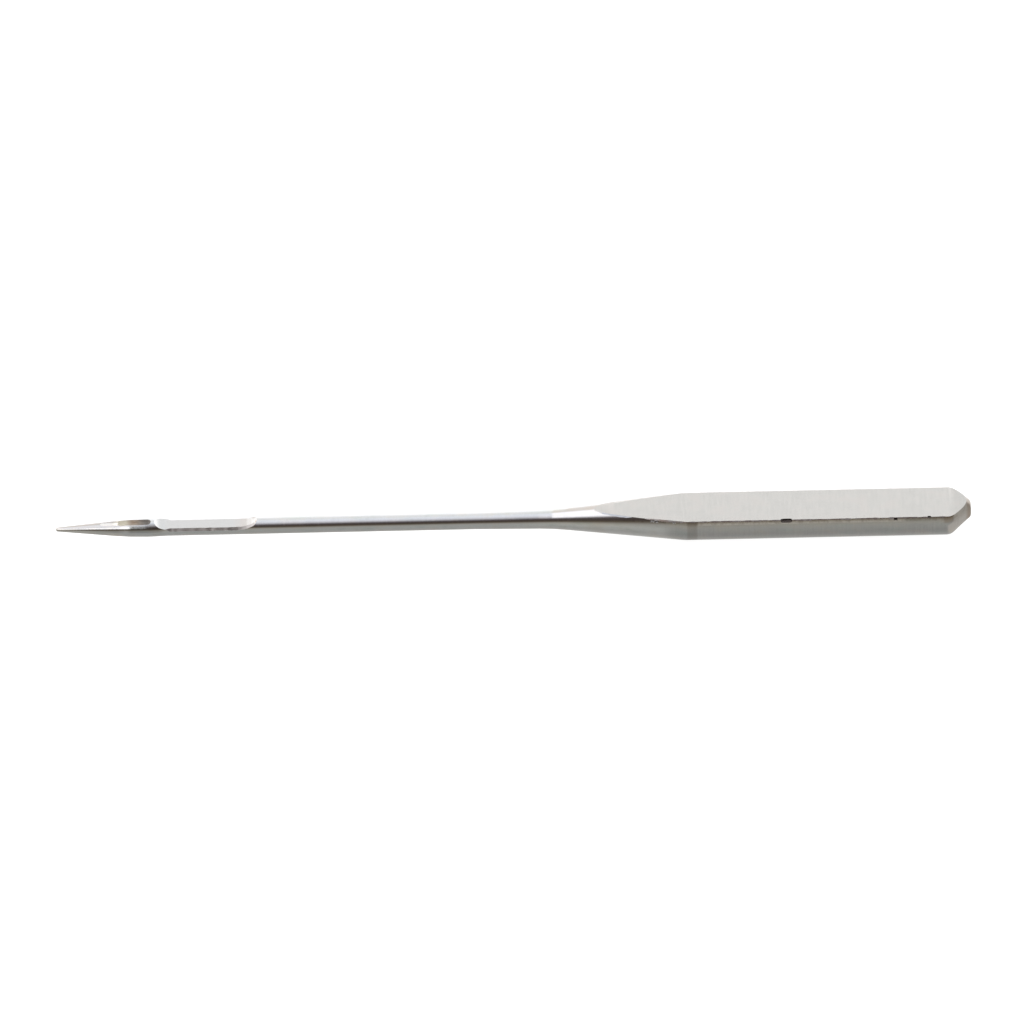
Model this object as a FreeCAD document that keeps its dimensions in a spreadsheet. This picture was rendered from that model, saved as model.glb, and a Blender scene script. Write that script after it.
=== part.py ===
"""Flat-shank needle for a household sewing machine, in millimetres.

The needle is one piece of hardened steel wire. It is swaged and ground to a round blank,
and then the shank flat, the scarf, the thread grooves and the eye are cut into it.

The origin is the centre of the butt face. The needle's axis is X: the butt is at X = 0 and
the point at the far end of -X. The shank flat and the scarf face +Z, and the long groove
faces -Z. Distances along the needle are measured from the butt face towards the point.
"""
import FreeCAD, Part
import Sketcher
import math
import os

# Places nearer to each other than this are one place, in millimetres
SAME_PLACE = 1e-4

# Driving dimensions, in millimetres and degrees
SIZES = {
    # Lengths along the needle
    "butt_chamfer_length": 0.85,
    "shank_length": 12.05,
    "shoulder_length": 5.55,
    "blade_root_length": 3.25,
    "butt_to_eye": 34.5,
    "eye_to_tip": 4.0,
    "eye_length": 1.4,
    "swell_lead": 0.7,
    "point_length": 3.1,
    # Diameters of the round blank
    "shank_diameter": 2.02,
    "butt_face_diameter": 0.66,
    "blade_root_diameter": 0.82,
    "blade_diameter": 0.73,
    "swell_diameter": 0.78,
    "tip_diameter": 0.17,
    # Roundings where the blank changes diameter
    "butt_rounding": 0.15,
    "shoulder_top_rounding": 2.0,
    "shoulder_foot_rounding": 12.0,
    "blade_root_rounding": 40.0,
    "point_rounding": 4.0,
    "tip_rounding": 0.07,
    # Flat on the shank
    "flat_height": 0.6,
    # Scarf ground into the back of the blade, above the eye
    "scarf_height": 0.21,
    "scarf_length": 3.8,
    "scarf_gap": 0.22,
    "scarf_upper_angle": 19.0,
    "scarf_upper_radius": 2.9,
    "scarf_lower_angle": 34.0,
    "scarf_lower_radius": 0.9,
    # Long groove down the front, from the shoulder to the eye
    "long_groove_width": 0.26,
    "long_groove_depth": 0.24,
    "long_groove_start": 18.2,
    "long_groove_ramp_angle": 14.0,
    "long_groove_ramp_radius": 8.0,
    "long_groove_lip_angle": 35.0,
    "long_groove_lip_radius": 0.4,
    "long_groove_floor_width": 0.04,
    # Short groove on the back, from the eye towards the point
    "short_groove_width": 0.22,
    "short_groove_height": 0.25,
    "short_groove_length": 0.65,
    "short_groove_ramp_angle": 12.0,
    "short_groove_ramp_radius": 1.0,
    "short_groove_floor_width": 0.04,
    # Eye
    "eye_width": 0.29,
}


class Length:
    """A length with the number it has now and the expression that ties it to the sheet."""

    def __init__(self, value, text):
        self.value = value
        self.text = text

    def __add__(self, other):
        return Length(self.value + other.value, f"({self.text} + {other.text})")

    def __sub__(self, other):
        return Length(self.value - other.value, f"({self.text} - {other.text})")

    def half(self):
        return Length(self.value / 2, f"({self.text} / 2)")

    def run_at(self, slope):
        """The distance along the needle in which a ramp of this slope climbs this length."""
        run = self.value / math.tan(math.radians(slope.value))
        return Length(run, f"({self.text} / tan({slope.text} * 1 deg))")


def size(alias):
    """One driving dimension of the sheet."""
    return Length(SIZES[alias], f"Sizes.{alias}")


NOTHING = Length(0.0, "0")


def make_sheet(doc):
    """Write the driving dimensions into a spreadsheet, one row each."""
    sheet = doc.addObject("Spreadsheet::Sheet", "Sizes")
    for row, (alias, number) in enumerate(SIZES.items(), start=1):
        sheet.set(f"A{row}", alias.replace("_", " "))
        sheet.set(f"B{row}", str(number))
        sheet.setAlias(f"B{row}", alias)
    doc.recompute()
    return sheet


def make_sketch(body, name, role):
    """Start a sketch on one of the body's own origin planes."""
    plane = next(item for item in body.Origin.OriginFeatures if item.Role == role)
    sketch = body.newObject("Sketcher::SketchObject", name)
    sketch.AttachmentSupport = [(plane, "")]
    sketch.MapMode = "FlatFace"
    return sketch


def tie(sketch, constraint, name, length):
    """Add a dimension to the sketch and bind it to the sheet."""
    index = sketch.addConstraint(constraint)
    sketch.renameConstraint(index, name)
    sketch.setExpression(f"Constraints.{name}", length.text)


def tie_corner(sketch, name, point, from_butt, off_axis, side):
    """Hold a point at its distance from the butt face and from the axis."""
    root = (-1, 1)
    horizontal_axis = -1
    vertical_axis = -2
    if from_butt is NOTHING:
        sketch.addConstraint(Sketcher.Constraint("PointOnObject", *point, vertical_axis))
    else:
        along = Sketcher.Constraint("DistanceX", *point, *root, from_butt.value)
        tie(sketch, along, f"{name}_along", from_butt)
    if off_axis is NOTHING:
        sketch.addConstraint(Sketcher.Constraint("PointOnObject", *point, horizontal_axis))
    else:
        ends = (*root, *point) if side > 0 else (*point, *root)
        across = Sketcher.Constraint("DistanceY", *ends, off_axis.value)
        tie(sketch, across, f"{name}_across", off_axis)


def corner_arc(before, corner, after, radius):
    """The tangent arc that rounds a corner, from its run in to its run out."""
    back = (before - corner).normalize()
    ahead = (after - corner).normalize()
    half_angle = back.getAngle(ahead) / 2
    start = corner + back * (radius / math.tan(half_angle))
    end = corner + ahead * (radius / math.tan(half_angle))
    bisector = (back + ahead).normalize()
    middle = corner + bisector * (radius / math.sin(half_angle) - radius)
    return start, middle, end


def draw_outline(sketch, corners, side=1):
    """Draw a closed outline on one side of the axis.

    Each corner is (name, distance from the butt face, distance off the axis, rounding).
    A rounded corner becomes a tangent arc, and a construction point keeps its place.
    """
    places = [FreeCAD.Vector(-along.value, side * across.value, 0)
              for _, along, across, _ in corners]
    starts, ends, arcs = [], [], []
    for index, (_, _, _, rounding) in enumerate(corners):
        place = places[index]
        if rounding is None:
            starts.append(place)
            ends.append(place)
            arcs.append(None)
            continue
        following = places[(index + 1) % len(places)]
        start, middle, end = corner_arc(places[index - 1], place, following, rounding.value)
        starts.append(start)
        ends.append(end)
        arcs.append(sketch.addGeometry(Part.ArcOfCircle(start, middle, end), False))

    runs = [sketch.addGeometry(Part.LineSegment(ends[index], starts[(index + 1) % len(places)]), False)
            for index in range(len(places))]

    for index, (name, along, across, rounding) in enumerate(corners):
        run_in = (runs[index - 1], 2)
        run_out = (runs[index], 1)
        if rounding is None:
            sketch.addConstraint(Sketcher.Constraint("Coincident", *run_in, *run_out))
            tie_corner(sketch, name, run_out, along, across, side)
            continue
        arc = arcs[index]
        forward = sketch.getPoint(arc, 1).distanceToPoint(starts[index]) < SAME_PLACE
        arc_start, arc_end = ((arc, 1), (arc, 2)) if forward else ((arc, 2), (arc, 1))
        sketch.addConstraint(Sketcher.Constraint("Tangent", *run_in, *arc_start))
        sketch.addConstraint(Sketcher.Constraint("Tangent", *arc_end, *run_out))
        corner = sketch.addGeometry(Part.Point(places[index]), True)
        sketch.addConstraint(Sketcher.Constraint("PointOnObject", corner, 1, run_in[0]))
        sketch.addConstraint(Sketcher.Constraint("PointOnObject", corner, 1, run_out[0]))
        tie_corner(sketch, name, (corner, 1), along, across, side)
        tie(sketch, Sketcher.Constraint("Radius", arc, rounding.value), f"{name}_rounding", rounding)


def draw_slot(sketch, start, length, width):
    """Draw a round-ended slot on the axis, its near end at start from the butt face."""
    radius = width.half()
    near = FreeCAD.Vector(-(start + radius).value, 0, 0)
    far = FreeCAD.Vector(-(start + length - radius).value, 0, 0)
    offset = FreeCAD.Vector(0, radius.value, 0)
    normal = FreeCAD.Vector(0, 0, 1)
    near_circle = Part.Circle(near, normal, radius.value)
    far_circle = Part.Circle(far, normal, radius.value)
    near_arc = sketch.addGeometry(Part.ArcOfCircle(near_circle, -math.pi / 2, math.pi / 2), False)
    far_arc = sketch.addGeometry(Part.ArcOfCircle(far_circle, math.pi / 2, 3 * math.pi / 2), False)
    upper = sketch.addGeometry(Part.LineSegment(near + offset, far + offset), False)
    lower = sketch.addGeometry(Part.LineSegment(far - offset, near - offset), False)
    sketch.addConstraint(Sketcher.Constraint("Tangent", near_arc, 2, upper, 1))
    sketch.addConstraint(Sketcher.Constraint("Tangent", upper, 2, far_arc, 1))
    sketch.addConstraint(Sketcher.Constraint("Tangent", far_arc, 2, lower, 1))
    sketch.addConstraint(Sketcher.Constraint("Tangent", lower, 2, near_arc, 1))
    sketch.addConstraint(Sketcher.Constraint("Horizontal", upper))
    tie_corner(sketch, "near_end", (near_arc, 3), start + radius, NOTHING, 1)
    far_end = Sketcher.Constraint("DistanceX", far_arc, 3, -1, 1, -far.x)
    tie(sketch, far_end, "far_end_along", start + length - radius)
    tie(sketch, Sketcher.Constraint("Radius", near_arc, radius.value), "end_radius", radius)


def pocket(body, name, sketch):
    """Cut a sketch right through the body, on both sides of the sketch plane."""
    cut = body.newObject("PartDesign::Pocket", name)
    cut.Profile = sketch
    cut.SideType = "Symmetric"
    cut.Type = "ThroughAll"
    return cut


def groove_cutter(doc, name, corners, side, width, floor_width):
    """A cutter for a groove: a wall along the outline, rounded along its lower edges."""
    cutter = doc.addObject("PartDesign::Body", f"{name}Cutter")
    sketch = make_sketch(cutter, f"{name}Outline", "XZ_Plane")
    draw_outline(sketch, corners, side)
    wall = cutter.newObject("PartDesign::Pad", f"{name}Wall")
    wall.Profile = sketch
    wall.SideType = "Symmetric"
    wall.setExpression("Length", width.text)
    doc.recompute()

    # The outline's second and third corners are the two ends of the floor
    floor_height = side * corners[1][2].value
    floor_edges = []
    for number, edge in enumerate(wall.Shape.Edges, start=1):
        box = edge.BoundBox
        level = abs(box.ZMin - floor_height) < SAME_PLACE and box.ZLength < SAME_PLACE
        if level and box.YLength < SAME_PLACE:
            floor_edges.append(f"Edge{number}")
    rounded = cutter.newObject("PartDesign::Fillet", f"{name}Floor")
    rounded.Base = (wall, floor_edges)
    rounded.setExpression("Radius", (width - floor_width).half().text)
    cutter.Tip = rounded
    return cutter


def press_groove(body, name, cutter):
    """Take the cutter's form out of the body."""
    groove = body.newObject("PartDesign::Boolean", name)
    groove.Type = "Cut"
    groove.setObjects([cutter])
    return groove


def make_blank(body):
    """Turn the round blank: butt, shank, shoulder, blade, eye swell and point."""
    shoulder_top = size("shank_length")
    shoulder_foot = shoulder_top + size("shoulder_length")
    blade_top = shoulder_foot + size("blade_root_length")
    eye_top = size("butt_to_eye")
    tip = eye_top + size("eye_to_tip")
    sketch = make_sketch(body, "BlankOutline", "XZ_Plane")
    draw_outline(sketch, [
        ("butt_centre", NOTHING, NOTHING, None),
        ("butt_edge", NOTHING, size("butt_face_diameter").half(), size("butt_rounding")),
        ("shank_edge", size("butt_chamfer_length"), size("shank_diameter").half(), size("butt_rounding")),
        ("shoulder_top", shoulder_top, size("shank_diameter").half(), size("shoulder_top_rounding")),
        ("shoulder_foot", shoulder_foot, size("blade_root_diameter").half(), size("shoulder_foot_rounding")),
        ("blade_top", blade_top, size("blade_diameter").half(), size("blade_root_rounding")),
        ("swell_start", eye_top - size("swell_lead"), size("blade_diameter").half(), None),
        ("swell_full", eye_top, size("swell_diameter").half(), None),
        ("point_start", tip - size("point_length"), size("swell_diameter").half(), size("point_rounding")),
        ("tip_edge", tip, size("tip_diameter").half(), size("tip_rounding")),
        ("tip_centre", tip, NOTHING, None),
    ])
    blank = body.newObject("PartDesign::Revolution", "Blank")
    blank.Profile = sketch
    blank.ReferenceAxis = (sketch, ["H_Axis"])
    blank.Angle = 360
    return blank


def cut_flat(body):
    """Grind the flat along the shank. It runs out on the shoulder's cone."""
    end = size("shank_length") + size("shoulder_length")
    clear = size("shank_diameter").half()
    sketch = make_sketch(body, "FlatOutline", "XZ_Plane")
    draw_outline(sketch, [
        ("butt_low", NOTHING, size("flat_height"), None),
        ("butt_high", NOTHING, clear, None),
        ("end_high", end, clear, None),
        ("end_low", end, size("flat_height"), None),
    ])
    return pocket(body, "ShankFlat", sketch)


def cut_scarf(body):
    """Grind the scarf: a shallow ramp in from the blade and a steeper one out at the eye."""
    lower = size("butt_to_eye") - size("scarf_gap")
    upper = lower - size("scarf_length")
    floor = size("scarf_height")
    clear = size("shank_diameter").half()
    rise = clear - floor
    sketch = make_sketch(body, "ScarfOutline", "XZ_Plane")
    draw_outline(sketch, [
        ("upper_out", upper - rise.run_at(size("scarf_upper_angle")), clear, None),
        ("upper_floor", upper, floor, size("scarf_upper_radius")),
        ("lower_floor", lower, floor, size("scarf_lower_radius")),
        ("lower_out", lower + rise.run_at(size("scarf_lower_angle")), clear, None),
    ])
    return pocket(body, "Scarf", sketch)


def cut_long_groove(doc, body):
    """Press the long groove into the front, from the shoulder to just past the eye."""
    floor = size("blade_diameter").half() - size("long_groove_depth")
    clear = size("shank_diameter").half()
    rise = clear - floor
    start = size("long_groove_start")
    end = size("butt_to_eye") + size("eye_length")
    corners = [
        ("shoulder_out", start - rise.run_at(size("long_groove_ramp_angle")), clear, None),
        ("shoulder_floor", start, floor, size("long_groove_ramp_radius")),
        ("lip_floor", end, floor, size("long_groove_lip_radius")),
        ("lip_out", end + rise.run_at(size("long_groove_lip_angle")), clear, None),
    ]
    cutter = groove_cutter(doc, "LongGroove", corners, -1, size("long_groove_width"),
                           size("long_groove_floor_width"))
    return press_groove(body, "LongGroove", cutter)


def cut_short_groove(doc, body):
    """Press the short groove into the back, from the eye out along the point."""
    floor = size("short_groove_height")
    clear = size("shank_diameter").half()
    rise = clear - floor
    start = size("butt_to_eye") + size("eye_length").half()
    end = size("butt_to_eye") + size("eye_length") + size("short_groove_length")
    corners = [
        ("eye_out", start, clear, None),
        ("eye_floor", start, floor, None),
        ("point_floor", end, floor, size("short_groove_ramp_radius")),
        ("point_out", end + rise.run_at(size("short_groove_ramp_angle")), clear, None),
    ]
    cutter = groove_cutter(doc, "ShortGroove", corners, 1, size("short_groove_width"),
                           size("short_groove_floor_width"))
    return press_groove(body, "ShortGroove", cutter)


def cut_eye(body):
    """Punch the eye through from front to back."""
    sketch = make_sketch(body, "EyeOutline", "XY_Plane")
    draw_slot(sketch, size("butt_to_eye"), size("eye_length"), size("eye_width"))
    return pocket(body, "Eye", sketch)


def make_needle(doc):
    """Build the needle and return its body with its features in order."""
    body = doc.addObject("PartDesign::Body", "Needle")
    body.Label = "needle"
    features = [make_blank(body)]
    features.append(cut_flat(body))
    features.append(cut_scarf(body))
    features.append(cut_long_groove(doc, body))
    features.append(cut_short_groove(doc, body))
    features.append(cut_eye(body))
    body.Tip = features[-1]
    body.Placement = FreeCAD.Placement()
    doc.recompute()
    return body, features


def check(doc, body, features):
    """Stop unless every object is sound and every cut has taken metal away."""
    for item in doc.Objects:
        if "Invalid" in item.State or "Error" in item.State:
            raise RuntimeError(f"{item.Label} failed: {item.State}")
    volumes = [feature.Shape.Volume for feature in features]
    for feature, before, after in zip(features[1:], volumes, volumes[1:]):
        print(f"{feature.Label}: {after - before:+.5f} mm3")
        if after >= before:
            raise RuntimeError(f"{feature.Label} cuts nothing")
    shape = body.Shape
    if shape.isNull() or not shape.isValid() or len(shape.Solids) != 1:
        raise RuntimeError("the needle is not one valid solid")
    print(f"needle: {shape.Volume:.4f} mm3, {len(shape.Faces)} faces, {shape.optimalBoundingBox()}")


def main():
    """Build the document, check it and write the needle's solid."""
    doc = FreeCAD.newDocument("SewingMachineNeedle")
    make_sheet(doc)
    body, features = make_needle(doc)
    check(doc, body, features)
    os.makedirs("parts", exist_ok=True)
    body.Shape.exportStep(f"parts/{body.Label}.step")


main()
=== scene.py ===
"""Studio scene for the sewing machine needle, in metres, in the frame of its solid model.

The needle lies along X with its butt at X = 0 and its point at the far end of -X. The shank
flat and the scarf face +Z, and the long groove faces -Z. Lengths in this file are in
millimetres, and distances along the needle are measured from the butt face.
"""
import bmesh
import bpy
import math
from mathutils import Matrix, Vector, noise


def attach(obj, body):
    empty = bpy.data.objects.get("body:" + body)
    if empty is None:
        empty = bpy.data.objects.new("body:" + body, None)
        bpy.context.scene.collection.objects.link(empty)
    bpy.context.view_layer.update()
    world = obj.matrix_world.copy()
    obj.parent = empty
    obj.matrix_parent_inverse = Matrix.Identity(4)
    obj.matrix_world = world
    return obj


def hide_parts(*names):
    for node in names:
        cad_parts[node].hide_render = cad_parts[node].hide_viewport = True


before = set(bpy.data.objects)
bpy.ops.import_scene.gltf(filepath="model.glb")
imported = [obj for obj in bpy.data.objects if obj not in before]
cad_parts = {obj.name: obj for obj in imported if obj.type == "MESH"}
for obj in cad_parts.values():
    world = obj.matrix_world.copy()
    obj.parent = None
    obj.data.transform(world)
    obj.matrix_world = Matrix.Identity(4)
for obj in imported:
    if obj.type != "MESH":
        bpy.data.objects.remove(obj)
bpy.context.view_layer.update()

MM = 0.001

# Sizes of the needle. Each rounding follows the size that it softens
BUTT_RADIUS = 0.33
BUTT_CHAMFER = 0.85
BUTT_ROUNDING = 0.15
BUTT_SHOULDER_ROUNDING = 0.6
SHANK_RADIUS = 1.01
SHANK_LENGTH = 12.05
SHOULDER_TOP_ROUNDING = 2.0
SHOULDER_FOOT = 17.6
SHOULDER_FOOT_RADIUS = 0.41
SHOULDER_FOOT_ROUNDING = 12.0
BLADE_TOP = 20.85
BLADE_RADIUS = 0.365
BLADE_TOP_ROUNDING = 40.0
EYE_START = 34.5
EYE_LENGTH = 1.4
EYE_END = EYE_START + EYE_LENGTH
EYE_WIDTH = 0.29
SWELL_START = EYE_START - 0.7
SWELL_RADIUS = 0.39
TIP = EYE_START + 4.0
POINT_START = TIP - 3.1
POINT_ROUNDING = 14.0
TIP_RADIUS = 0.085
TIP_ROUNDING = 0.07
FLAT_HEIGHT = 0.6
SCARF_HEIGHT = 0.21
SCARF_LOWER = EYE_START - 0.40
SCARF_UPPER = SCARF_LOWER - 3.62
SCARF_UPPER_ANGLE = 19
SCARF_UPPER_ROUNDING = 2.9
SCARF_LOWER_ANGLE = 34
SCARF_LOWER_ROUNDING = 0.9
GROOVE_FLOOR_WIDTH = 0.04
LONG_GROOVE_WIDTH = 0.26
LONG_GROOVE_FLOOR = BLADE_RADIUS - 0.24
LONG_GROOVE_START = 18.2
LONG_GROOVE_RAMP = 14
LONG_GROOVE_RAMP_ROUNDING = 8.0
LONG_GROOVE_LIP = 35
LONG_GROOVE_LIP_ROUNDING = 0.4
SHORT_GROOVE_WIDTH = 0.22
SHORT_GROOVE_FLOOR = 0.25
SHORT_GROOVE_END = EYE_END + 0.65
SHORT_GROOVE_RAMP = 12
SHORT_GROOVE_RAMP_ROUNDING = 1.0

# Cutters reach this far from the axis
CLEAR = 1.1 * SHANK_RADIUS
WIDE = 2 * SHANK_RADIUS
SCARF_CLEAR = 1.5 * BLADE_RADIUS

# Fineness of the mesh
SEGMENTS = 144
STATION_STEP = 0.08
ARC_STEP = math.radians(6)
SHARP_ANGLE = math.radians(22)
QUARTER_STEPS = 6
HALF_TURN_STEPS = 16
LEAD_STEPS = 2
DENT_FINENESS = 3

# Wear: a bevel along the edges of the flat and the scarf, and a butt that is a little off centre
FLAT_BEVEL = 0.016
FLAT_FAR_BEVEL = 0.045
FLAT_UNEVENNESS = (1.0, 0.15)
SCARF_BEVEL = 0.055
SCARF_FAR_BEVEL = 0.1
SCARF_UNEVENNESS = (0.15, 0.15)
BEVEL_FADE = 0.3
BEVEL_MARGIN = 0.1
BEVEL_TURN = 0.75
BEVEL_REACH = 0.25
BEVELS_PER_HALF_FLAT = 3
NEAR_TILT = 0.25
BUTT_LEAN = (0.05, 0.05)
BUTT_BULGE = 0.08
BUTT_BULGE_SHARPNESS = 3

# Waver of the bevels: waves per millimetre, their share of the bevel, and shifts in the pattern
SLOW_WAVES, SLOW_SHARE = 0.9, 1.2
QUICK_WAVES, QUICK_SHARE = 4.3, 1.9
SIDE_SHIFT = 9
QUICK_SHIFT = 4
LEAST_SHARE = 0.1

# Dents and chips as (distance along, distance to the side, height, half sizes, lumpiness)
BOXINESS = 0.4
LUMP_SCALE = 1.7
FLAT_EDGE = math.sqrt(SHANK_RADIUS ** 2 - FLAT_HEIGHT ** 2)
DENTS = [
    (7.80, -FLAT_EDGE - 0.03, FLAT_HEIGHT - 0.03, (0.24, 0.10, 0.07), 0.1),
    (3.22, -FLAT_EDGE - 0.05, FLAT_HEIGHT - 0.04, (0.08, 0.06, 0.06), 0.4),
    (1.80, -FLAT_EDGE, FLAT_HEIGHT, (0.07, 0.06, 0.05), 0.35),
]
CHIPS = [
    (13.42, -0.680, 0.54, (0.09, 0.05, 0.040), 0.5),
    (13.24, -0.700, 0.53, (0.06, 0.05, 0.035), 0.5),
    (13.06, -0.725, 0.54, (0.07, 0.05, 0.035), 0.5),
    (12.52, -0.800, 0.54, (0.06, 0.04, 0.025), 0.5),
]


def rounded(corners):
    """An open outline with its corners rounded. Each corner is (along, off axis, rounding)."""
    points = []
    for index, (along, off_axis, radius) in enumerate(corners):
        corner = Vector((along, off_axis))
        if not radius:
            points.append(corner)
            continue
        back = (Vector(corners[index - 1][:2]) - corner).normalized()
        ahead = (Vector(corners[index + 1][:2]) - corner).normalized()
        half_angle = back.angle(ahead) / 2
        centre = corner + (back + ahead).normalized() * (radius / math.sin(half_angle))
        spoke = corner + back * (radius / math.tan(half_angle)) - centre
        turn = math.pi - 2 * half_angle
        if back.cross(ahead) > 0:
            turn = -turn
        steps = max(2, math.ceil(abs(turn) / ARC_STEP))
        for step in range(steps + 1):
            points.append(centre + Matrix.Rotation(turn * step / steps, 2) @ spoke)
    return points


def run_of(rise, angle):
    """The length in which a ramp at this angle climbs this rise."""
    return rise / math.tan(math.radians(angle))


def stations(outline):
    """The outline with its runs cut into even steps."""
    points = [outline[0]]
    for start, end in zip(outline, outline[1:]):
        steps = max(1, math.ceil((end - start).length / STATION_STEP))
        points += [start.lerp(end, step / steps) for step in range(1, steps + 1)]
    return points


BLANK_OUTLINE = rounded([
    (0, 0, 0),
    (0, BUTT_RADIUS, BUTT_ROUNDING),
    (BUTT_CHAMFER, SHANK_RADIUS, BUTT_SHOULDER_ROUNDING),
    (SHANK_LENGTH, SHANK_RADIUS, SHOULDER_TOP_ROUNDING),
    (SHOULDER_FOOT, SHOULDER_FOOT_RADIUS, SHOULDER_FOOT_ROUNDING),
    (BLADE_TOP, BLADE_RADIUS, BLADE_TOP_ROUNDING),
    (SWELL_START, BLADE_RADIUS, 0),
    (EYE_START, SWELL_RADIUS, 0),
    (POINT_START, SWELL_RADIUS, POINT_ROUNDING),
    (TIP, TIP_RADIUS, TIP_ROUNDING),
    (TIP, 0, 0),
])


def radius_at(along):
    """The blank's radius at a distance from the butt."""
    for start, end in zip(BLANK_OUTLINE, BLANK_OUTLINE[1:]):
        if start.x <= along <= end.x and end.x > start.x:
            return start.lerp(end, (along - start.x) / (end.x - start.x)).y
    return 0.0


def place(along, across, height):
    """A point of the needle in metres."""
    return Vector((-along, across, height)) * MM


def show(name, bm):
    """Make an object of a bmesh."""
    bmesh.ops.recalc_face_normals(bm, faces=bm.faces)
    mesh = bpy.data.meshes.new(name)
    bm.to_mesh(mesh)
    bm.free()
    made = bpy.data.objects.new(name, mesh)
    bpy.context.scene.collection.objects.link(made)
    return made


def loft(name, sections):
    """A closed skin over sections that all have the same number of points."""
    bm = bmesh.new()
    rows = [[bm.verts.new(point) for point in section] for section in sections]
    count = len(rows[0])
    for row, following in zip(rows, rows[1:]):
        for index in range(count):
            beside = (index + 1) % count
            bm.faces.new((row[index], row[beside], following[beside], following[index]))
    bm.faces.new(rows[0])
    bm.faces.new(rows[-1])
    return show(name, bm)


def make_blank():
    """The round blank, from the butt face to the point."""
    turns = [2 * math.pi * index / SEGMENTS for index in range(SEGMENTS)]
    sections = []
    for along, radius in stations(BLANK_OUTLINE):
        share = min(1.0, along / BUTT_CHAMFER)
        across, up = (lean * (1 - share ** 2) for lean in BUTT_LEAN)
        bulge = BUTT_BULGE * math.sin(math.pi * share)
        if radius > 0:
            section = []
            for turn in turns:
                full = radius + bulge * max(0.0, math.sin(turn)) ** BUTT_BULGE_SHARPNESS
                section.append(place(along, full * math.cos(turn) + across,
                                     full * math.sin(turn) + up))
            sections.append(section)
    return loft("needle_body", sections)


def bevel_at(along, side, bevel, unevenness):
    """How far in from the edge the worn bevel starts at a place along it."""
    slow = noise.noise(Vector((along * SLOW_WAVES, side * SIDE_SHIFT, 0)))
    quick = noise.noise(Vector((along * QUICK_WAVES, side * SIDE_SHIFT, QUICK_SHIFT)))
    waver = SLOW_SHARE * slow + QUICK_SHARE * quick
    return bevel * max(LEAST_SHARE, 1 + unevenness * waver)


def worn_cutter(name, path, bevels, unevenness, worn_from, worn_to):
    """A cutter for a flat that follows the path of (along, height), with worn edges.

    The bevels are those on the near side and the far side. They fade out at both ends of the
    worn stretch.
    """
    sections = []
    for along, height in path:
        radius = max(radius_at(min(max(along, BUTT_ROUNDING), TIP)), height)
        edge = math.sqrt(radius ** 2 - height ** 2)
        worn = min(1.0, max(0.0, min(along - worn_from, worn_to - along) / BEVEL_FADE))
        low = height - worn * BEVEL_REACH * math.tan(BEVEL_TURN * math.acos(height / radius))
        section = []
        for side, bevel, uneven in zip((-1, 1), bevels, unevenness):
            inset = worn * min(bevel_at(along, side, bevel, uneven),
                               edge / BEVELS_PER_HALF_FLAT)
            start = max(edge - inset, bevel)
            strip = [(WIDE, CLEAR), (WIDE, low), (start + BEVEL_REACH, low), (start, height)]
            section += [place(along, side * across, level) for across, level in strip[::-side]]
        sections.append(section)
    return loft(name, sections)


def flat_cutter():
    """A cutter for the shank flat, from before the butt to past its end on the shoulder."""
    steps = math.ceil(SHOULDER_FOOT / STATION_STEP)
    path = [(step * STATION_STEP, FLAT_HEIGHT) for step in range(-LEAD_STEPS, steps + 1)]
    return worn_cutter("flat_cutter", path, (FLAT_BEVEL, FLAT_FAR_BEVEL), FLAT_UNEVENNESS,
                       BUTT_CHAMFER - BEVEL_MARGIN, TIP)


def scarf_cutter():
    """A cutter for the scarf: a shallow ramp in from the blade and a steep one out."""
    rise = SCARF_CLEAR - SCARF_HEIGHT
    outline = rounded([
        (SCARF_UPPER - run_of(rise, SCARF_UPPER_ANGLE), SCARF_HEIGHT + rise, 0),
        (SCARF_UPPER, SCARF_HEIGHT, SCARF_UPPER_ROUNDING),
        (SCARF_LOWER, SCARF_HEIGHT, SCARF_LOWER_ROUNDING),
        (SCARF_LOWER + run_of(rise, SCARF_LOWER_ANGLE), SCARF_HEIGHT + rise, 0),
    ])
    return worn_cutter("scarf_cutter", stations(outline), (SCARF_BEVEL, SCARF_FAR_BEVEL),
                       SCARF_UNEVENNESS, 0, SCARF_LOWER - BEVEL_MARGIN)


def groove_cutter(name, path, width, side):
    """A cutter for a groove with a rounded floor that follows the path."""
    radius = (width - GROOVE_FLOOR_WIDTH) / 2
    wall = []
    for step in range(QUARTER_STEPS + 1):
        angle = math.pi / 2 * step / QUARTER_STEPS
        wall.append((GROOVE_FLOOR_WIDTH / 2 + radius * math.sin(angle),
                     radius * (1 - math.cos(angle))))
    wall.append((width / 2, WIDE))
    profile = wall + [(-across, rise) for across, rise in reversed(wall)]
    return loft(name, [[place(along, across, side * (floor + rise)) for across, rise in profile]
                       for along, floor in path])


def long_groove_cutter():
    """A cutter for the long groove below, from the shoulder to just past the eye."""
    rise = CLEAR - LONG_GROOVE_FLOOR
    path = rounded([
        (LONG_GROOVE_START - run_of(rise, LONG_GROOVE_RAMP), CLEAR, 0),
        (LONG_GROOVE_START, LONG_GROOVE_FLOOR, LONG_GROOVE_RAMP_ROUNDING),
        (EYE_END, LONG_GROOVE_FLOOR, LONG_GROOVE_LIP_ROUNDING),
        (EYE_END + run_of(rise, LONG_GROOVE_LIP), CLEAR, 0),
    ])
    return groove_cutter("long_groove_cutter", path, LONG_GROOVE_WIDTH, -1)


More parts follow.
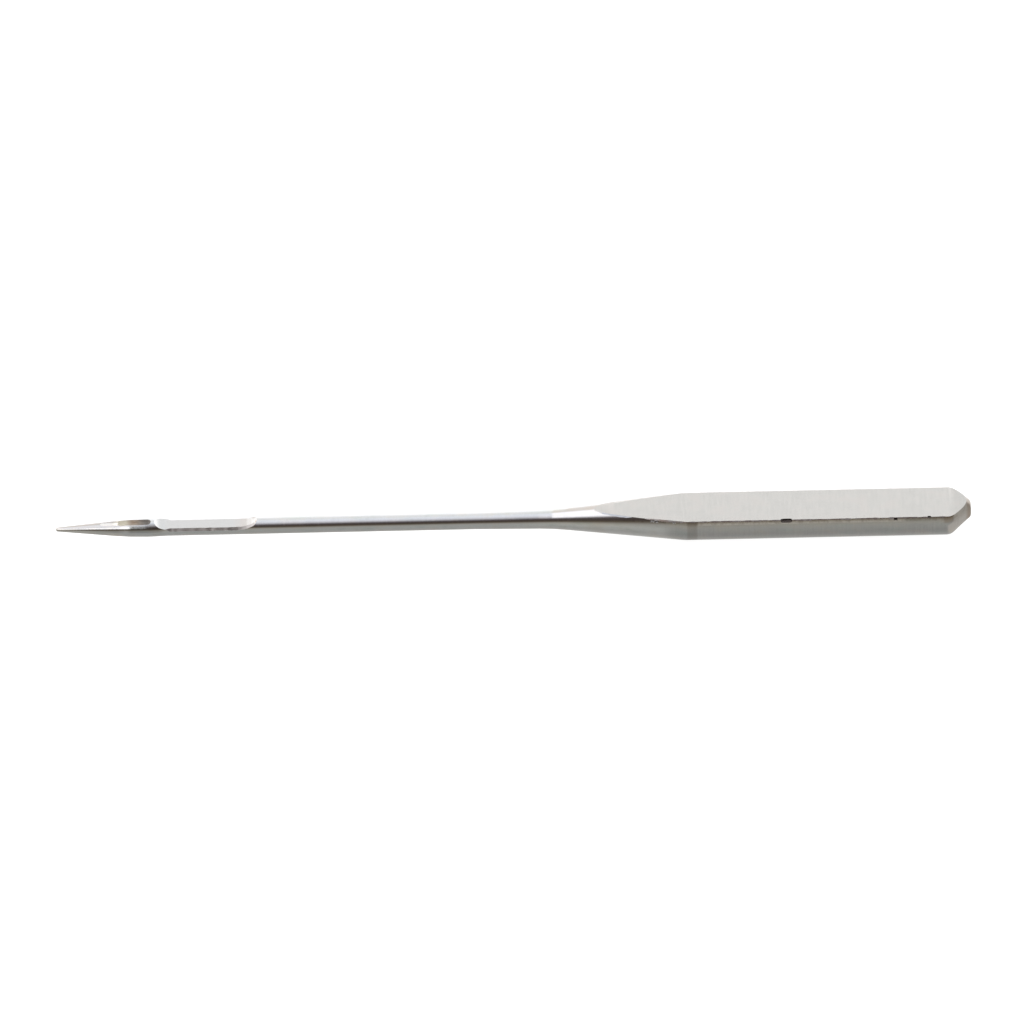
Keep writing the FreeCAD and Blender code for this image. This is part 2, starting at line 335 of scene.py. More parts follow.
def short_groove_cutter():
    """A cutter for the short groove on the scarf's side, from the eye out along the point."""
    rise = CLEAR - SHORT_GROOVE_FLOOR
    path = rounded([
        (EYE_START + EYE_LENGTH / 2, SHORT_GROOVE_FLOOR, 0),
        (SHORT_GROOVE_END, SHORT_GROOVE_FLOOR, SHORT_GROOVE_RAMP_ROUNDING),
        (SHORT_GROOVE_END + run_of(rise, SHORT_GROOVE_RAMP), CLEAR, 0),
    ])
    return groove_cutter("short_groove_cutter", path, SHORT_GROOVE_WIDTH, 1)


def eye_cutter():
    """A round-ended cutter that goes through the blade."""
    radius = EYE_WIDTH / 2
    outline = []
    for centre, first in ((EYE_START + radius, math.pi / 2), (EYE_END - radius, -math.pi / 2)):
        for step in range(HALF_TURN_STEPS + 1):
            angle = first + math.pi * step / HALF_TURN_STEPS
            outline.append((centre + radius * math.cos(angle), radius * math.sin(angle)))
    return loft("eye_cutter", [[place(along, across, height) for along, across in outline]
                               for height in (-CLEAR, CLEAR)])


def dent_cutter(name, along, across, height, half_sizes, lumpiness):
    """A cutter for a small dent: an uneven lump with a boxy outline."""
    bm = bmesh.new()
    bmesh.ops.create_icosphere(bm, subdivisions=DENT_FINENESS, radius=1)
    middle = place(along, across, height)
    for vert in bm.verts:
        swell = 1 + lumpiness * noise.noise(vert.co * LUMP_SCALE + Vector((along, 0, 0)))
        vert.co = middle + Vector([
            swell * math.copysign(abs(part) ** BOXINESS, part) * half * MM
            for part, half in zip(vert.co, half_sizes)])
    return show(name, bm)


def carve(body, cutters):
    """Take the cutters out of the body. The cut faces keep their cutter's material."""
    for cutter in cutters:
        cut = body.modifiers.new(cutter.name, "BOOLEAN")
        cut.operation = "DIFFERENCE"
        cut.solver = "EXACT"
        cut.material_mode = "TRANSFER"
        cut.object = cutter
    bpy.context.view_layer.update()
    carved = bpy.data.meshes.new_from_object(
        body.evaluated_get(bpy.context.evaluated_depsgraph_get()))
    spare = [body.data] + [cutter.data for cutter in cutters]
    body.modifiers.clear()
    body.data = carved
    for cutter in cutters:
        bpy.data.objects.remove(cutter)
    for mesh in spare:
        bpy.data.meshes.remove(mesh)


class Tree:
    """A shader tree in the making."""

    def __init__(self, owner):
        owner.use_nodes = True
        self.nodes = owner.node_tree.nodes
        self.links = owner.node_tree.links
        self.nodes.clear()

    def add(self, kind, settings=(), **inputs):
        """Add a node. Inputs are numbers, colours or other nodes' outputs."""
        node = self.nodes.new(kind)
        for name, value in dict(settings).items():
            setattr(node, name, value)
        for name, value in inputs.items():
            self.feed(node.inputs[name.replace("_", " ")], value)
        return node

    def feed(self, socket, value):
        """Set a socket, or link another node's output to it."""
        if isinstance(value, bpy.types.NodeSocket):
            self.links.new(value, socket)
        else:
            socket.default_value = value

    def math(self, operation, *values):
        """The result of a math node."""
        node = self.nodes.new("ShaderNodeMath")
        node.operation = operation
        for socket, value in zip(node.inputs, values):
            self.feed(socket, value)
        return node.outputs[0]

    def ramp(self, value, start, end, low=0.0, high=1.0):
        """A smooth change from low to high while the value goes from start to end."""
        node = self.add("ShaderNodeMapRange", {"interpolation_type": "SMOOTHSTEP"}, Value=value,
                        From_Min=start, From_Max=end, To_Min=low, To_Max=high)
        return node.outputs["Result"]

    def window(self, value, start, end, soft):
        """One where the value lies between start and end, and nothing outside."""
        return self.math("MULTIPLY", self.ramp(value, start - soft, start),
                         self.ramp(value, end, end + soft, 1.0, 0.0))

    def mix(self, factor, first, second, blend="MIX"):
        """A blend of two colours."""
        node = self.nodes.new("ShaderNodeMix")
        node.data_type = "RGBA"
        node.blend_type = blend
        self.feed(node.inputs["Factor"], factor)
        self.feed(node.inputs["A"], first)
        self.feed(node.inputs["B"], second)
        return node.outputs["Result"]

    def noise(self, position, scales, detail, roughness):
        """Noise with its own scale along, across and up."""
        stretched = self.nodes.new("ShaderNodeVectorMath")
        stretched.operation = "MULTIPLY"
        self.feed(stretched.inputs[0], position)
        self.feed(stretched.inputs[1], scales)
        node = self.add("ShaderNodeTexNoise", Vector=stretched.outputs[0], Scale=1.0,
                        Detail=detail, Roughness=roughness)
        return node.outputs["Fac"]


# Colours of the round surface
STEEL = (0.655, 0.640, 0.622, 1)
BRIGHT_STEEL = (0.715, 0.720, 0.735, 1)
# Painted sheen for the lower side of the blade
BLADE_UNDERSIDE_SHEEN = (0.88, 0.87, 0.85, 1)
POINT_STEEL = (0.53, 0.53, 0.535, 1)
# Painted sheen for the lower side of the point
POINT_UNDERSIDE_SHEEN = (0.95, 0.91, 0.85, 1)
# Painted shade beside the eye
EYE_SIDE_SHADE = (0.47, 0.478, 0.485, 1)
RUBBED_STEEL = (0.95, 0.93, 0.91, 1)
WARM_STAIN = (0.62, 0.55, 0.46, 1)
COOL_STAIN = (0.58, 0.64, 0.61, 1)
# Painted shade for the ring on the shank before the shoulder
SHOULDER_RING_SHADE = (0.36, 0.32, 0.28, 1)
OXIDE = (0.36, 0.26, 0.19, 1)
BROWN_SOOT = (0.30, 0.25, 0.22, 1)
SOOT = (0.10, 0.085, 0.078, 1)
# Painted shade for the top of the butt
BUTT_SHADE = (0.24, 0.225, 0.21, 1)

# Colours of the ground faces and their edges
WARM_GROUND = (0.665, 0.63, 0.61, 1)
COOL_GROUND = (0.685, 0.69, 0.70, 1)
RUBBED_EDGE = (0.84, 0.82, 0.80, 1)
BROWN_EDGE = (0.56, 0.48, 0.43, 1)
SCARF_EDGE = (0.45, 0.42, 0.40, 1)
COLD_EDGE = (0.48, 0.50, 0.53, 1)

# Colours of the grooves, the eye, the nicks and the chips
LINT = (0.80, 0.75, 0.70, 1)
GRIME = (0.58, 0.46, 0.36, 1)
# Painted shade for the eye's end towards the butt and the long groove
EYE_AND_GROOVE_SHADE = (0.46, 0.46, 0.46, 1)
# Painted highlight for the eye's end wall towards the point
EYE_WALL_HIGHLIGHT = (0.98, 0.96, 0.88, 1)
GROOVE_GREY = (0.76, 0.75, 0.73, 1)
DIRT = (0.15, 0.13, 0.12, 1)
CHIP = (0.52, 0.51, 0.50, 1)

# Patterns as their scales along, across and up, then detail and roughness
ROUND_MARKS = ((13.0, 1.2, 1.2), 3.0, 0.5)
ROUND_CLOUD = ((1.3, 2.2, 2.2), 4.0, 0.65)
COOL_CLOUD = ((0.8, 2.6, 2.6), 3.0, 0.6)
SOOT_FLECKS = ((5.0, 3.0, 3.0), 4.0, 0.7)
GROUND_MARKS = ((10.0, 1.3, 1.3), 4.0, 0.65)
GROUND_CLOUD = ((1.6, 2.2, 2.2), 3.0, 0.5)
EDGE_PATCHES = ((3.0, 3.0, 3.0), 3.0, 0.6)
LINT_PATCHES = ((3.0, 6.0, 6.0), 4.0, 0.65)
GRAIN = ((9.0, 9.0, 9.0), 3.0, 0.6)

# How strongly the patterns show in the colour
SHANK_MARK_CONTRAST = 0.14
BLADE_MARK_CONTRAST = 0.04
ROUND_CLOUD_CONTRAST = 0.3
GROUND_MARK_CONTRAST = 0.13
GROUND_CLOUD_CONTRAST = 0.12
CHIP_CONTRAST = 0.7

# Where a pattern turns into a patch
STAIN_FROM = (0.45, 0.7)
SOOT_FROM = (0.4, 0.65)
GRIME_FROM = (0.35, 0.7)
DIRT_FROM = (0.4, 0.6)

# How much of a patch's colour shows
WARM_STAIN_SHARE = 0.3
COOL_STAIN_SHARE = 0.35
WARM_GROUND_SHARE = 0.5
SOOT_SHARE = 0.35
RUBBED_SHARE = 0.8
SPOT_SHARE = 0.45
OXIDE_SHARE = 0.55
BUTT_SHADE_SHARE = 0.35
BUTT_SOOT_SHARE = 0.08
COOL_GROUND_SHARE = 0.8
SCARF_EDGE_SHARE = 0.6
EYE_GREY_SHARE = 0.8
COLLAR_SHARES = (0.42, 0.75)

# Places along the needle as x in millimetres: a change as (start, end), a band with its soft edge
TO_BLADE = (-12.3, -13.2)
TO_BLADE_EDGE = (-20.0, -15.0)
TO_SCARF = (-20.0, -25.0)
TO_POINT = (-35.4, -36.0)
TO_SOOT = (-15.2, -14.2)
TO_BUTT_OXIDE = (-0.28, -0.1)
TO_BUTT_SHADE = (-0.9, -0.7)
TO_BUTT_SOOT = (-1.1, -0.5)
TO_UPPER_EYE = (-35.2, -34.7)
TO_LOWER_EYE = (-35.3, -35.6)
TO_SHORT_GROOVE = (-35.95, -36.15)
EYE_BAND = (-35.3, -34.2, 0.3)
RUBBED_BAND = (-11.4, -3.0, 0.3)
COLLAR_BAND = (-11.9, -11.6, 0.12)
SPOT_BAND = (-1.1, -0.85, 0.15)
COLD_BAND = (-17.5, -14.3, 0.1)
DARK_BAND = (-14.25, -13.8, 0.08)

# Places round the needle, in the same way, as the height z or as the distance across y
TO_UNDERSIDE = (0.18, -0.06)
UNDERSIDE_LIFT = 0.25
TO_POINT_UNDERSIDE = (0.14, 0.0)
TO_FAR_SIDE = (-0.03, 0.05)
TO_EYE_TOP = (0.05, 0.15)
TO_NEAR_SIDE = (-0.06, -0.14)
TO_COLLAR_TOP = (0.35, 0.5)
TO_BUTT_TOP = (0.15, 0.45)
UNDER_FLAT_BAND = (FLAT_HEIGHT - 0.12, FLAT_HEIGHT - 0.02, 0.05)
SPOT_HEIGHTS = (0.4, 0.56, 0.12)

# Gloss and relief of each surface
RELIEF_HEIGHT = 0.02
MARK_ROUGHNESS = 0.1
ROUND_ROUGHNESS = 0.09
GROUND_ROUGHNESS = 0.17
EDGE_ROUGHNESS = 0.3
RECESS_ROUGHNESS = 0.35
RECESS_METAL = 0.45
DENT_ROUGHNESS = 0.45
CHIP_ROUGHNESS = 0.6
ROUND_RELIEF = 0.03
GROUND_RELIEF = 0.06
EDGE_RELIEF = 0.05
RECESS_RELIEF = 0.1
DENT_RELIEF = 0.2
CHIP_RELIEF = 0.3


def start_steel(name):
    """A metal material, with the object's position in millimetres and its parts."""
    material = bpy.data.materials.new(name)
    tree = Tree(material)
    scaled = tree.nodes.new("ShaderNodeVectorMath")
    scaled.operation = "SCALE"
    tree.links.new(tree.add("ShaderNodeTexCoord").outputs["Object"], scaled.inputs[0])
    scaled.inputs["Scale"].default_value = 1 / MM
    position = scaled.outputs[0]
    parts = tree.add("ShaderNodeSeparateXYZ", Vector=position)
    return material, tree, position, parts.outputs


def finish_steel(tree, colour, roughness, height, bump, metallic=1.0):
    """Join colour, roughness and relief into a metal surface."""
    relief = tree.add("ShaderNodeBump", Height=height, Strength=bump, Distance=RELIEF_HEIGHT * MM)
    surface = tree.add("ShaderNodeBsdfPrincipled", Base_Color=colour, Metallic=metallic,
                       Roughness=roughness, Normal=relief.outputs[0])
    tree.add("ShaderNodeOutputMaterial", Surface=surface.outputs[0])


def shaded(tree, colour, pattern, contrast):
    """The colour, made lighter and darker by a pattern."""
    shade = tree.math("MULTIPLY_ADD", tree.math("SUBTRACT", pattern, 0.5), contrast, 1.0)
    level = tree.add("ShaderNodeCombineColor", Red=shade, Green=shade, Blue=shade)
    return tree.mix(1.0, colour, level.outputs[0], "MULTIPLY")


def make_round_steel():
    """The plated round surface: fine marks round the needle, faint stains and wear, and painted
    shade and sheen in places.
    """
    material, tree, position, (x, y, z) = start_steel("steel_round")
    marks = tree.noise(position, *ROUND_MARKS)
    cloud = tree.noise(position, *ROUND_CLOUD)
    cool = tree.noise(position, *COOL_CLOUD)
    flecks = tree.noise(position, *SOOT_FLECKS)

    on_blade = tree.ramp(x, *TO_BLADE)
    # Painted sheen: the blade is lighter on its lower side, and the light part reaches higher up
    # near the shoulder.
    lift = tree.ramp(x, *TO_BLADE_EDGE, 0.0, UNDERSIDE_LIFT)
    below = tree.ramp(tree.math("SUBTRACT", z, lift), *TO_UNDERSIDE)
    blade = tree.mix(below, BRIGHT_STEEL, BLADE_UNDERSIDE_SHEEN)
    # Painted sheen: the point is lighter and warmer on its lower side, and lighter on its far
    # side.
    point = tree.mix(tree.ramp(z, *TO_POINT_UNDERSIDE), POINT_STEEL, POINT_UNDERSIDE_SHEEN)
    point = tree.mix(tree.ramp(y, *TO_FAR_SIDE), point, BRIGHT_STEEL)
    blade = tree.mix(tree.ramp(x, *TO_POINT), blade, point)
    # Painted shade: the upper near side of the blade around the eye is darkened.
    near_top = tree.math("MULTIPLY", tree.ramp(z, *TO_EYE_TOP), tree.ramp(y, *TO_NEAR_SIDE))
    shade_beside_eye = tree.math("MULTIPLY", tree.window(x, *EYE_BAND), near_top)
    blade = tree.mix(shade_beside_eye, blade, EYE_SIDE_SHADE)
    plain = tree.mix(on_blade, STEEL, blade)

    warm_patches = tree.math("MULTIPLY", tree.ramp(cloud, *STAIN_FROM), WARM_STAIN_SHARE)
    stained = tree.mix(warm_patches, plain, WARM_STAIN)
    cool_patches = tree.math("MULTIPLY", tree.ramp(cool, *STAIN_FROM), COOL_STAIN_SHARE)
    tinted = tree.mix(cool_patches, stained, COOL_STAIN)
    contrast = tree.math("MULTIPLY_ADD", on_blade, BLADE_MARK_CONTRAST - SHANK_MARK_CONTRAST,
                         SHANK_MARK_CONTRAST)
    marked = shaded(tree, tinted, marks, contrast)
    clouded = shaded(tree, marked, cloud, ROUND_CLOUD_CONTRAST)

    under_flat = tree.window(z, *UNDER_FLAT_BAND)
    rubbed = tree.math("MULTIPLY", under_flat, tree.window(x, *RUBBED_BAND))
    bright = tree.mix(tree.math("MULTIPLY", rubbed, RUBBED_SHARE), clouded, RUBBED_STEEL)
    sooty = tree.math("MULTIPLY", under_flat, tree.ramp(x, *TO_SOOT))
    soot = tree.math("MULTIPLY", sooty, tree.ramp(flecks, *SOOT_FROM, 0.0, SOOT_SHARE))
    edged = tree.mix(soot, bright, BROWN_SOOT)
    # Painted shade: a dark ring on the shank just before the shoulder, darker towards the top.
    ring_shade = tree.math("MULTIPLY", tree.window(x, *COLLAR_BAND),
                       tree.ramp(z, *TO_COLLAR_TOP, *COLLAR_SHARES))
    ring_shaded = tree.mix(ring_shade, edged, SHOULDER_RING_SHADE)
    spot = tree.math("MULTIPLY", tree.window(x, *SPOT_BAND), tree.window(z, *SPOT_HEIGHTS))
    rusted = tree.mix(tree.math("MULTIPLY", spot, SPOT_SHARE), ring_shaded, OXIDE)
    butt = tree.math("MULTIPLY", tree.ramp(x, *TO_BUTT_OXIDE), OXIDE_SHARE)
    browned = tree.mix(butt, rusted, OXIDE)
    # Painted shade: the top of the butt is darkened to hold back its highlight.
    top = tree.math("MULTIPLY", tree.ramp(x, *TO_BUTT_SHADE),
                    tree.ramp(z, *TO_BUTT_TOP, 0.0, BUTT_SHADE_SHARE))
    coloured = tree.mix(top, browned, BUTT_SHADE)
    roughness = tree.math("MULTIPLY_ADD", marks, MARK_ROUGHNESS, ROUND_ROUGHNESS)
    finish_steel(tree, coloured, roughness, marks, ROUND_RELIEF)
    return material


def make_ground_steel():
    """The ground flat and scarf: very fine grinding marks straight across."""
    material, tree, position, (x, _, _) = start_steel("steel_ground")
    marks = tree.noise(position, *GROUND_MARKS)
    cloud = tree.noise(position, *GROUND_CLOUD)
    marked = shaded(tree, STEEL, marks, GROUND_MARK_CONTRAST)
    clouded = shaded(tree, marked, cloud, GROUND_CLOUD_CONTRAST)
    patches = tree.math("MULTIPLY", tree.ramp(cloud, *STAIN_FROM), WARM_GROUND_SHARE)
    warm = tree.mix(patches, clouded, WARM_GROUND)
    sooty = tree.math("MULTIPLY", tree.ramp(x, *TO_BUTT_SOOT), BUTT_SOOT_SHARE)
    near_butt = tree.mix(sooty, warm, SOOT)
    cooler = tree.mix(tree.ramp(x, *TO_SCARF, 0.0, COOL_GROUND_SHARE), near_butt, COOL_GROUND)
    roughness = tree.math("MULTIPLY_ADD", marks, MARK_ROUGHNESS, GROUND_ROUGHNESS)
    finish_steel(tree, cooler, roughness, marks, GROUND_RELIEF)
    return material


def make_edge_steel():
    """The burnished bevel on the near edges: brownish, and dark where it meets the shoulder."""
    material, tree, position, (x, _, _) = start_steel("steel_edge")
    flecks = tree.noise(position, *EDGE_PATCHES)
    patches = tree.math("MULTIPLY", tree.ramp(flecks, *SOOT_FROM), tree.ramp(x, *TO_BLADE_EDGE))
    shank = tree.mix(tree.window(x, *RUBBED_BAND), STEEL, RUBBED_EDGE)
    colour = tree.mix(patches, shank, BROWN_EDGE)
    worn = tree.mix(tree.ramp(x, *TO_SCARF, 0.0, SCARF_EDGE_SHARE), colour, SCARF_EDGE)
    cold = tree.mix(tree.window(x, *COLD_BAND), worn, COLD_EDGE)
    dark = tree.mix(tree.window(x, *DARK_BAND), cold, SOOT)
    finish_steel(tree, dark, EDGE_ROUGHNESS, flecks, EDGE_RELIEF)
    return material


def make_recess_steel():
    """The walls of the grooves and the eye, dulled by lint and old thread finish, with painted
    shade in the long groove and at the eye's end towards the butt, and a painted highlight on its
    end towards the point.
    """
    material, tree, position, (x, _, _) = start_steel("steel_recess")
    grime = tree.noise(position, *LINT_PATCHES)
    colour = tree.mix(tree.ramp(grime, *GRIME_FROM), LINT, GRIME)
    # Painted shade: the eye's end towards the butt and the long groove are darkened.
    grey = tree.mix(tree.ramp(x, *TO_UPPER_EYE, 0.0, EYE_GREY_SHARE), colour, EYE_AND_GROOVE_SHADE)
    # Painted highlight: the eye's end wall towards the point is made pale.
    pale = tree.mix(tree.ramp(x, *TO_LOWER_EYE), grey, EYE_WALL_HIGHLIGHT)
    beyond = tree.mix(tree.ramp(x, *TO_SHORT_GROOVE), pale, GROOVE_GREY)
    finish_steel(tree, beyond, RECESS_ROUGHNESS, grime, RECESS_RELIEF, RECESS_METAL)
    return material


def make_dent_steel():
    """The inside of a nick: bare dark metal with dirt in it."""
    material, tree, position, _ = start_steel("steel_dent")
    grime = tree.noise(position, *GRAIN)
    colour = tree.mix(tree.ramp(grime, *DIRT_FROM), SOOT, DIRT)
    finish_steel(tree, colour, DENT_ROUGHNESS, grime, DENT_RELIEF)
    return material


def make_chip_steel():
    """The dull bottom of a chip in the plating."""
    material, tree, position, _ = start_steel("steel_chip")
    grain = tree.noise(position, *GRAIN)
    colour = shaded(tree, CHIP, grain, CHIP_CONTRAST)
    finish_steel(tree, colour, CHIP_ROUGHNESS, grain, CHIP_RELIEF)
    return material


def smooth(mesh):
    """Smooth shading with sharp edges at corners and where two surfaces meet."""
    for face in mesh.polygons:
        face.use_smooth = True
    mesh.set_sharp_from_angle(angle=SHARP_ANGLE)
    surfaces = {}
    for face in mesh.polygons:
        for edge in face.edge_keys:
            surfaces.setdefault(edge, set()).add(face.material_index)
    for edge in mesh.edges:
        if len(surfaces.get(edge.key, ())) > 1:
            edge.use_edge_sharp = True


def burnish(mesh, ground, edge):
    """Give the bevels on the near side the edge's material."""
    slots = list(mesh.materials)
    mesh.materials.append(edge)
    for face in mesh.polygons:
        if slots[face.material_index] == ground and face.normal.y < -NEAR_TILT:
            face.material_index = len(slots)


def make_needle():
    """The whole needle: blank, flat, scarf, grooves, eye and the dents of wear."""
    body = make_blank()
    body.data.materials.append(make_round_steel())
    ground_steel = make_ground_steel()
    ground = [flat_cutter(), scarf_cutter()]
    recesses = [long_groove_cutter(), short_groove_cutter(), eye_cutter()]
    dents = [dent_cutter(f"dent_cutter_{number}", *dent) for number, dent in enumerate(DENTS)]
    chips = [dent_cutter(f"chip_cutter_{number}", *chip) for number, chip in enumerate(CHIPS)]
    for cutters, material in ((ground, ground_steel), (recesses, make_recess_steel()),
                              (dents, make_dent_steel()), (chips, make_chip_steel())):
        for cutter in cutters:
            cutter.data.materials.append(material)
    carve(body, ground + recesses + dents + chips)
    burnish(body.data, ground_steel, make_edge_steel())
    smooth(body.data)
    return body


# Studio round the needle, as the light from each angle up from the table on the camera's side
SURROUND = [
    (-180, (1.45, 1.45, 1.45)), (-140, (1.30, 1.30, 1.30)), (-128, (0.60, 0.60, 0.59)),
    (-90, (0.42, 0.42, 0.41)), (-68, (0.36, 0.36, 0.355)), (-50, (0.335, 0.338, 0.330)),
    (-30, (0.363, 0.372, 0.359)), (-12, (0.394, 0.397, 0.378)),
    (-4, (0.400, 0.397, 0.359)), (4, (0.388, 0.372, 0.336)), (12, (0.295, 0.274, 0.232)),
    (20, (0.150, 0.125, 0.093)), (28, (0.085, 0.066, 0.052)), (37, (0.071, 0.056, 0.048)),
    (46, (0.080, 0.063, 0.058)), (52, (0.13, 0.11, 0.11)), (60, (0.28, 0.26, 0.27)),
    (66, (0.43, 0.415, 0.44)), (77, (0.72, 0.72, 0.77)), (91, (0.95, 0.97, 1.04)),
    (105, (1.01, 1.04, 1.09)), (121, (1.03, 1.05, 1.06)), (130, (1.02, 1.03, 1.02)),
    (140, (1.06, 1.07, 1.07)), (150, (1.15, 1.15, 1.15)), (160, (1.30, 1.30, 1.30)),
    (180, (1.45, 1.45, 1.45)),
]
BRIGHTEST = 2.0
LEFT_KEY = (1.48, 1.45, 1.48)
LEFT_GLOW = (0.98, 0.90, 0.83)
LEFT_END = (1.05, 0.76, 0.55)
SIDE_KEY = (1.62, 1.61, 1.59)
BUTT_FILL = (0.54, 0.52, 0.49)
ENDS = (0.57, 0.55, 0.51)

# Where those lights lie: x of the direction as (start, end), and the angle in the same way or as
# a band with its soft edge
LEFT = (-0.07, -0.12)
GLOW_RISE = (120, 134)
KEY_RISE = (53, 75)
KEY_FALL = (132, 114)
SIDE_LEFT = (-0.27, -0.42)
SIDE_RIGHT = (0.45, 0.7)
SIDE_BAND = (110, 165, 12)
FAR_LEFT = (-0.52, -0.58)
BUTT_SIDE = (0.08, 0.25)
BUTT_FILL_BAND = (-125, -30, 12)
END_SIDES = (0.78, 0.97)


def lit(light):
    """A light as a colour, a share of the brightest one."""
    return (*(part / BRIGHTEST for part in light), 1)


def make_surround():
    """A soft studio: bright above and behind, dim on the camera's side, a grey table below."""
    world = bpy.data.worlds.new("studio_surround")
    tree = Tree(world)
    direction = tree.add("ShaderNodeTexCoord").outputs["Generated"]
    x, y, z = tree.add("ShaderNodeSeparateXYZ", Vector=direction).outputs
    angle = tree.math("ARCTAN2", z, tree.math("MULTIPLY", y, -1.0))
    degrees = tree.math("MULTIPLY", angle, 180 / math.pi)
    share = tree.math("MULTIPLY_ADD", degrees, 1 / 360, 0.5)
    bands = tree.add("ShaderNodeValToRGB", Fac=share)
    bands.color_ramp.interpolation = "LINEAR"
    stops = bands.color_ramp.elements
    stops.remove(stops[-1])
    for index, (level, light) in enumerate(SURROUND):
        at = (level + 180) / 360
        stop = stops.new(at) if index else stops[0]
        stop.position = at
        stop.color = lit(light)
    around = bands.outputs["Color"]

    left = tree.ramp(x, *LEFT)
    glow = tree.math("MULTIPLY", left, tree.ramp(degrees, *GLOW_RISE))
    around = tree.mix(glow, around, lit(LEFT_GLOW))
    key_band = tree.math("MULTIPLY", tree.ramp(degrees, *KEY_RISE), tree.ramp(degrees, *KEY_FALL))
    around = tree.mix(tree.math("MULTIPLY", left, key_band), around, lit(LEFT_KEY))
    sides = tree.math("ADD", tree.ramp(x, *SIDE_LEFT), tree.ramp(x, *SIDE_RIGHT))
    side = tree.math("MULTIPLY", sides, tree.window(degrees, *SIDE_BAND))
    around = tree.mix(side, around, lit(SIDE_KEY))
    left_end = tree.math("MULTIPLY", tree.ramp(x, *FAR_LEFT), tree.window(degrees, *SIDE_BAND))
    around = tree.mix(left_end, around, lit(LEFT_END))
    butt_fill = tree.math("MULTIPLY", tree.ramp(x, *BUTT_SIDE),
                          tree.window(degrees, *BUTT_FILL_BAND))
    around = tree.mix(butt_fill, around, lit(BUTT_FILL))
    ends = tree.ramp(tree.math("ABSOLUTE", x), *END_SIDES)
    around = tree.mix(ends, around, lit(ENDS))
    background = tree.add("ShaderNodeBackground", Color=around, Strength=BRIGHTEST)
    tree.add("ShaderNodeOutputWorld", Surface=background.outputs[0])
    bpy.context.scene.world = world


def stage_material(name, own_light, paint):
    """Plain white that glows a little by itself."""
    material = bpy.data.materials.new(name)
    tree = Tree(material)
    surface = tree.add("ShaderNodeBsdfPrincipled", Base_Color=(paint, paint, paint, 1),
                       Roughness=1.0, Specular_IOR_Level=0.0, Emission_Color=(1, 1, 1, 1),
                       Emission_Strength=own_light)
    tree.add("ShaderNodeOutputMaterial", Surface=surface.outputs[0])
    return material


# The stage, with its own sizes in metres
MIDDLE = place(TIP / 2, 0, 0)
TABLE_RADIUS = 0.9
TABLE_SIDES = 96
TABLE_LIGHT = 0.95
TABLE_PAINT = 0.3
DOME_RADIUS = 1.0
DOME_SEGMENTS = 64
DOME_LIGHT = 1.0
DOME_PAINT = 0.0
LAMP_SIZE = 0.9
LAMP_POWER = 3.0
LAMP_PLACE = (0, 0.1, 0.7)


def make_floor():
    """A plain pale light table, as low as the shank. The steel doesn't mirror it."""
    bm = bmesh.new()
    bmesh.ops.create_circle(bm, cap_ends=True, segments=TABLE_SIDES, radius=TABLE_RADIUS)
    floor = show("floor", bm)
    floor.location = place(TIP / 2, 0, -SHANK_RADIUS)
    floor.visible_glossy = False
    floor.data.materials.append(stage_material("pale_table", TABLE_LIGHT, TABLE_PAINT))


def make_backdrop():
    """A plain pale dome behind the table, seen by the camera alone."""
    bm = bmesh.new()
    bmesh.ops.create_uvsphere(bm, u_segments=DOME_SEGMENTS, v_segments=DOME_SEGMENTS // 2,
                              radius=DOME_RADIUS)
    dome = show("backdrop", bm)
    dome.visible_diffuse = False
    dome.visible_glossy = False
    dome.visible_transmission = False
    dome.visible_shadow = False
    dome.data.materials.append(stage_material("pale_backdrop", DOME_LIGHT, DOME_PAINT))


def make_lamp():
    """A wide soft lamp overhead that whitens the table."""
    light = bpy.data.lights.new("overhead", "AREA")
    light.shape = "DISK"
    light.size = LAMP_SIZE
    light.energy = LAMP_POWER
    lamp = bpy.data.objects.new("overhead", light)
    lamp.location = MIDDLE + Vector(LAMP_PLACE)
    lamp.rotation_euler = (MIDDLE - lamp.location).to_track_quat("-Z", "Y").to_euler()
    lamp.visible_glossy = False
    bpy.context.scene.collection.objects.link(lamp)


# The light card: its length along the needle and its width, and how far out it hangs
CARD_DISTANCE = 50
CARD_ANGLE = math.radians(49)
CARD_SIZE = (16, 23)
CARD_LIGHT = 1.8
CARD_MIDDLE = TIP + 11


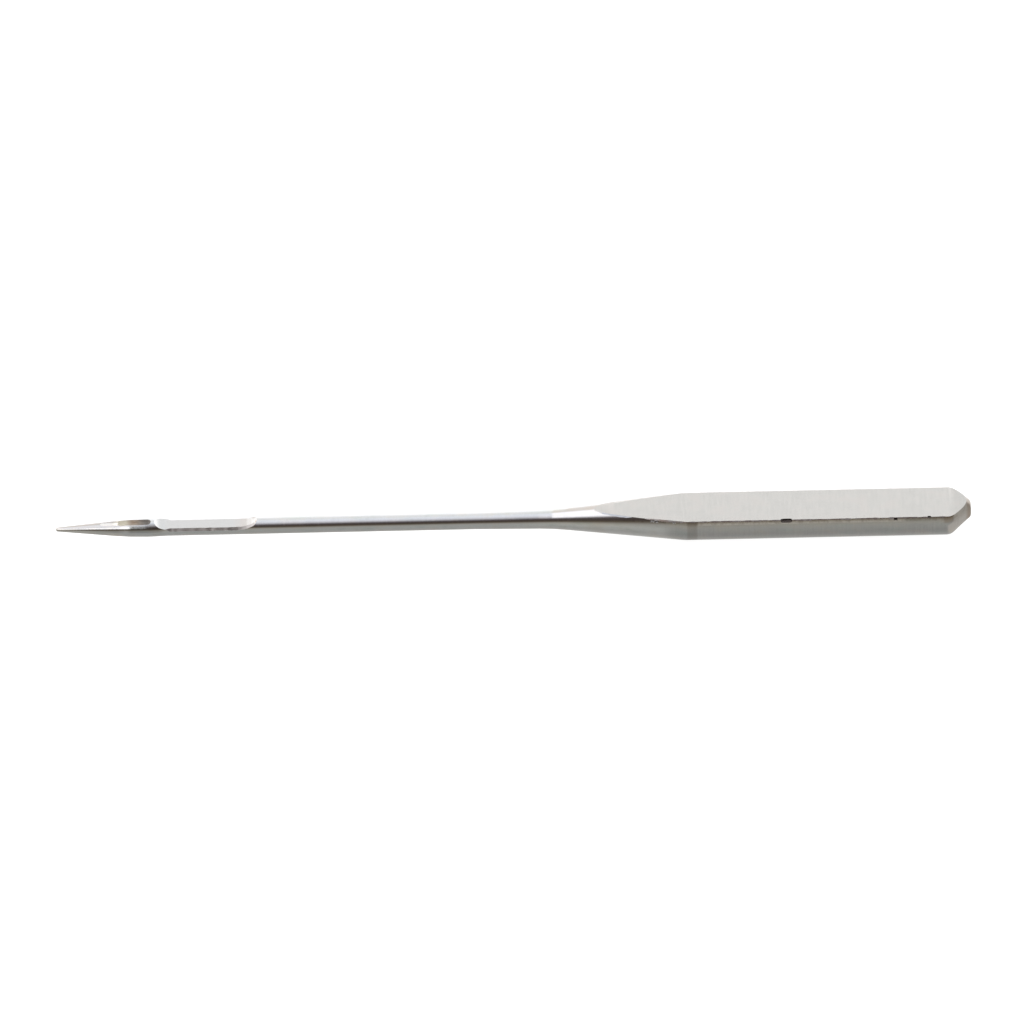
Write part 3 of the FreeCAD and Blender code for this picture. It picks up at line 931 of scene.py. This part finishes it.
def make_card():
    """A small soft light near the point, mirrored in the upper side of its cone."""
    length, width = (side * MM for side in CARD_SIZE)
    light = bpy.data.lights.new("point_card", "AREA")
    light.shape = "RECTANGLE"
    light.size = length
    light.size_y = width
    light.energy = CARD_LIGHT * math.pi * length * width
    card = bpy.data.objects.new("point_card", light)
    above = Vector((0, -math.cos(CARD_ANGLE), math.sin(CARD_ANGLE)))
    card.location = place(CARD_MIDDLE, 0, 0) + above * CARD_DISTANCE * MM
    card.rotation_euler = (-above).to_track_quat("-Z", "Y").to_euler()
    card.visible_camera = False
    card.visible_diffuse = False
    bpy.context.scene.collection.objects.link(card)


# The camera: a long lens that looks half down on the flat
CAMERA_ELEVATION = math.radians(50.7)
CAMERA_ROLL = math.radians(1.22)
CAMERA_DISTANCE = 0.3
SENSOR_WIDTH = 36.0
PICTURE = 1024
PIXELS_PER_MM = 23.76
MIDDLE_PIXEL = Vector((513.4, 519.8))


def make_camera():
    """Put the camera where the needle's middle falls on its pixel, with a slight roll."""
    camera = bpy.data.cameras.new("camera")
    camera.sensor_width = SENSOR_WIDTH
    camera.lens = PIXELS_PER_MM / MM * CAMERA_DISTANCE * SENSOR_WIDTH / PICTURE
    holder = bpy.data.objects.new("camera", camera)
    bpy.context.scene.collection.objects.link(holder)
    bpy.context.scene.camera = holder
    back = Vector((0, -math.cos(CAMERA_ELEVATION), math.sin(CAMERA_ELEVATION)))
    level = (-back).to_track_quat("-Z", "Y").to_matrix()
    turned = level @ Matrix.Rotation(-CAMERA_ROLL, 3, "Z")
    off_centre = (MIDDLE_PIXEL - Vector((PICTURE / 2, PICTURE / 2))) / PIXELS_PER_MM * MM
    target = MIDDLE + turned @ Vector((-off_centre.x, off_centre.y, 0))
    holder.rotation_mode = "QUATERNION"
    holder.rotation_quaternion = turned.to_quaternion()
    holder.location = target + back * CAMERA_DISTANCE


needle = make_needle()
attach(needle, "root")
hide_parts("needle")
make_surround()
make_floor()
make_backdrop()
make_lamp()
make_card()
make_camera()
bpy.context.scene.view_settings.view_transform = "Standard"
